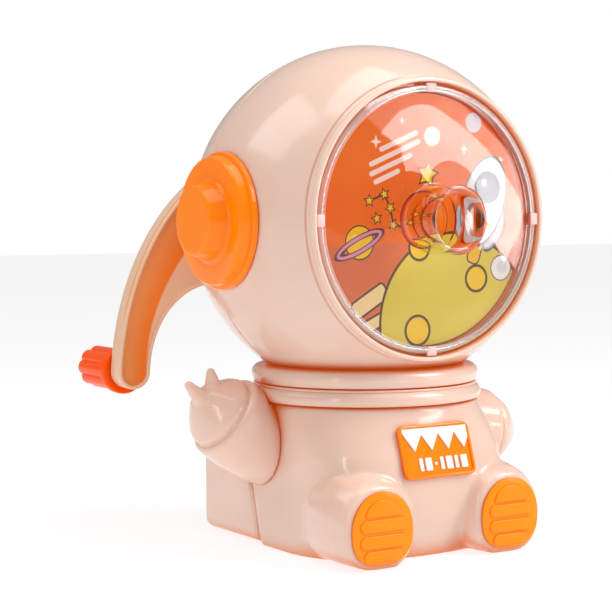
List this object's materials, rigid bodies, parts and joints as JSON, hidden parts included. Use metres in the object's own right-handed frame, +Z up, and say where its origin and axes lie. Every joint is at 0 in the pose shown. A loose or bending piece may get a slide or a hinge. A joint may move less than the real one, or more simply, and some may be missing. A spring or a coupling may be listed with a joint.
{
  "type": "pencil sharpener",
  "caption": "Hand-cranked pencil sharpener shaped as a seated round-helmeted spaceman, with a clear visor tube for the pencil, a rear crank and a shavings drawer.",
  "frame": {"origin": "on the ground, at the centre of the flat bottom cover under the neck axis", "axes": "+Z up; the visor faces -Y; the object's own right side is at -X; the pencil and crank axis is parallel to Y"},
  "size_m": [0.103, 0.1122, 0.1287],
  "materials": {
    "peach_plastic": "smooth glossy moulded ABS",
    "orange_plastic": "smooth glossy moulded ABS",
    "red_orange_plastic": "satin moulded ABS",
    "clear_plastic": "polished clear polystyrene",
    "printed_card": "printed card, semi-gloss",
    "grey_plastic": "plain moulded plastic",
    "white_plastic": "plain moulded plastic",
    "steel": "turned and ground steel",
    "zinc_casting": "die-cast zinc, light grey"
  },
  "bodies": {
    "casing": {"head_front_shell": "peach_plastic", "head_rear_shell": "peach_plastic", "visor_lens": "clear_plastic", "face_card": "printed_card", "ear_cap_left": "orange_plastic", "ear_cap_right": "orange_plastic", "neck_ring": "peach_plastic", "body_collar": "peach_plastic", "shavings_chute": "white_plastic", "body_front_shell": "peach_plastic", "body_rear_shell": "peach_plastic", "base_cover": "peach_plastic", "base_screw_1": "steel", "base_screw_2": "steel", "base_screw_3": "steel", "sole_left": "orange_plastic", "sole_right": "orange_plastic", "chest_plate": "orange_plastic", "arm_right": "peach_plastic", "arm_left": "peach_plastic", "mechanism_housing": "grey_plastic", "housing_screw_1": "steel", "housing_screw_2": "steel", "housing_screw_3": "steel", "pencil_guide_bush": "orange_plastic", "rear_bearing_bush": "white_plastic"},
    "crank": {"crank_arm": "peach_plastic", "crank_hub_cap": "orange_plastic", "crank_screw": "steel", "knob_pin": "steel", "drive_shaft": "steel", "cutter_carrier": "zinc_casting", "cutter_pin": "steel"},
    "knob": {"crank_knob": "red_orange_plastic"},
    "cutter": {"helical_cutter": "steel", "cutter_pinion": "steel"},
    "drawer": {"shavings_drawer": "peach_plastic"}
  },
  "joints": [
    {"name": "crank_spin", "type": "hinge", "parent": "casing", "child": "crank", "pos_m": [0, 0.02, 0.0837], "axis": [0, 1, 0], "continuous": true},
    {"name": "knob_spin", "type": "hinge", "parent": "crank", "child": "knob", "pos_m": [-0.0436, 0.062, 0.0426], "axis": [0, 1, 0], "continuous": true},
    {"name": "cutter_spin", "type": "hinge", "parent": "crank", "child": "cutter", "pos_m": [0, -0.0125, 0.09389], "axis": [0, 0.9799, -0.1994], "continuous": true},
    {"name": "drawer_slide", "type": "slide", "parent": "casing", "child": "drawer", "axis": [0, 1, 0], "range_m": [0, 0.03]}
  ],
  "couplings": [
    {"joint": "cutter_spin", "follows": "crank_spin", "ratio": -3}
  ]
}
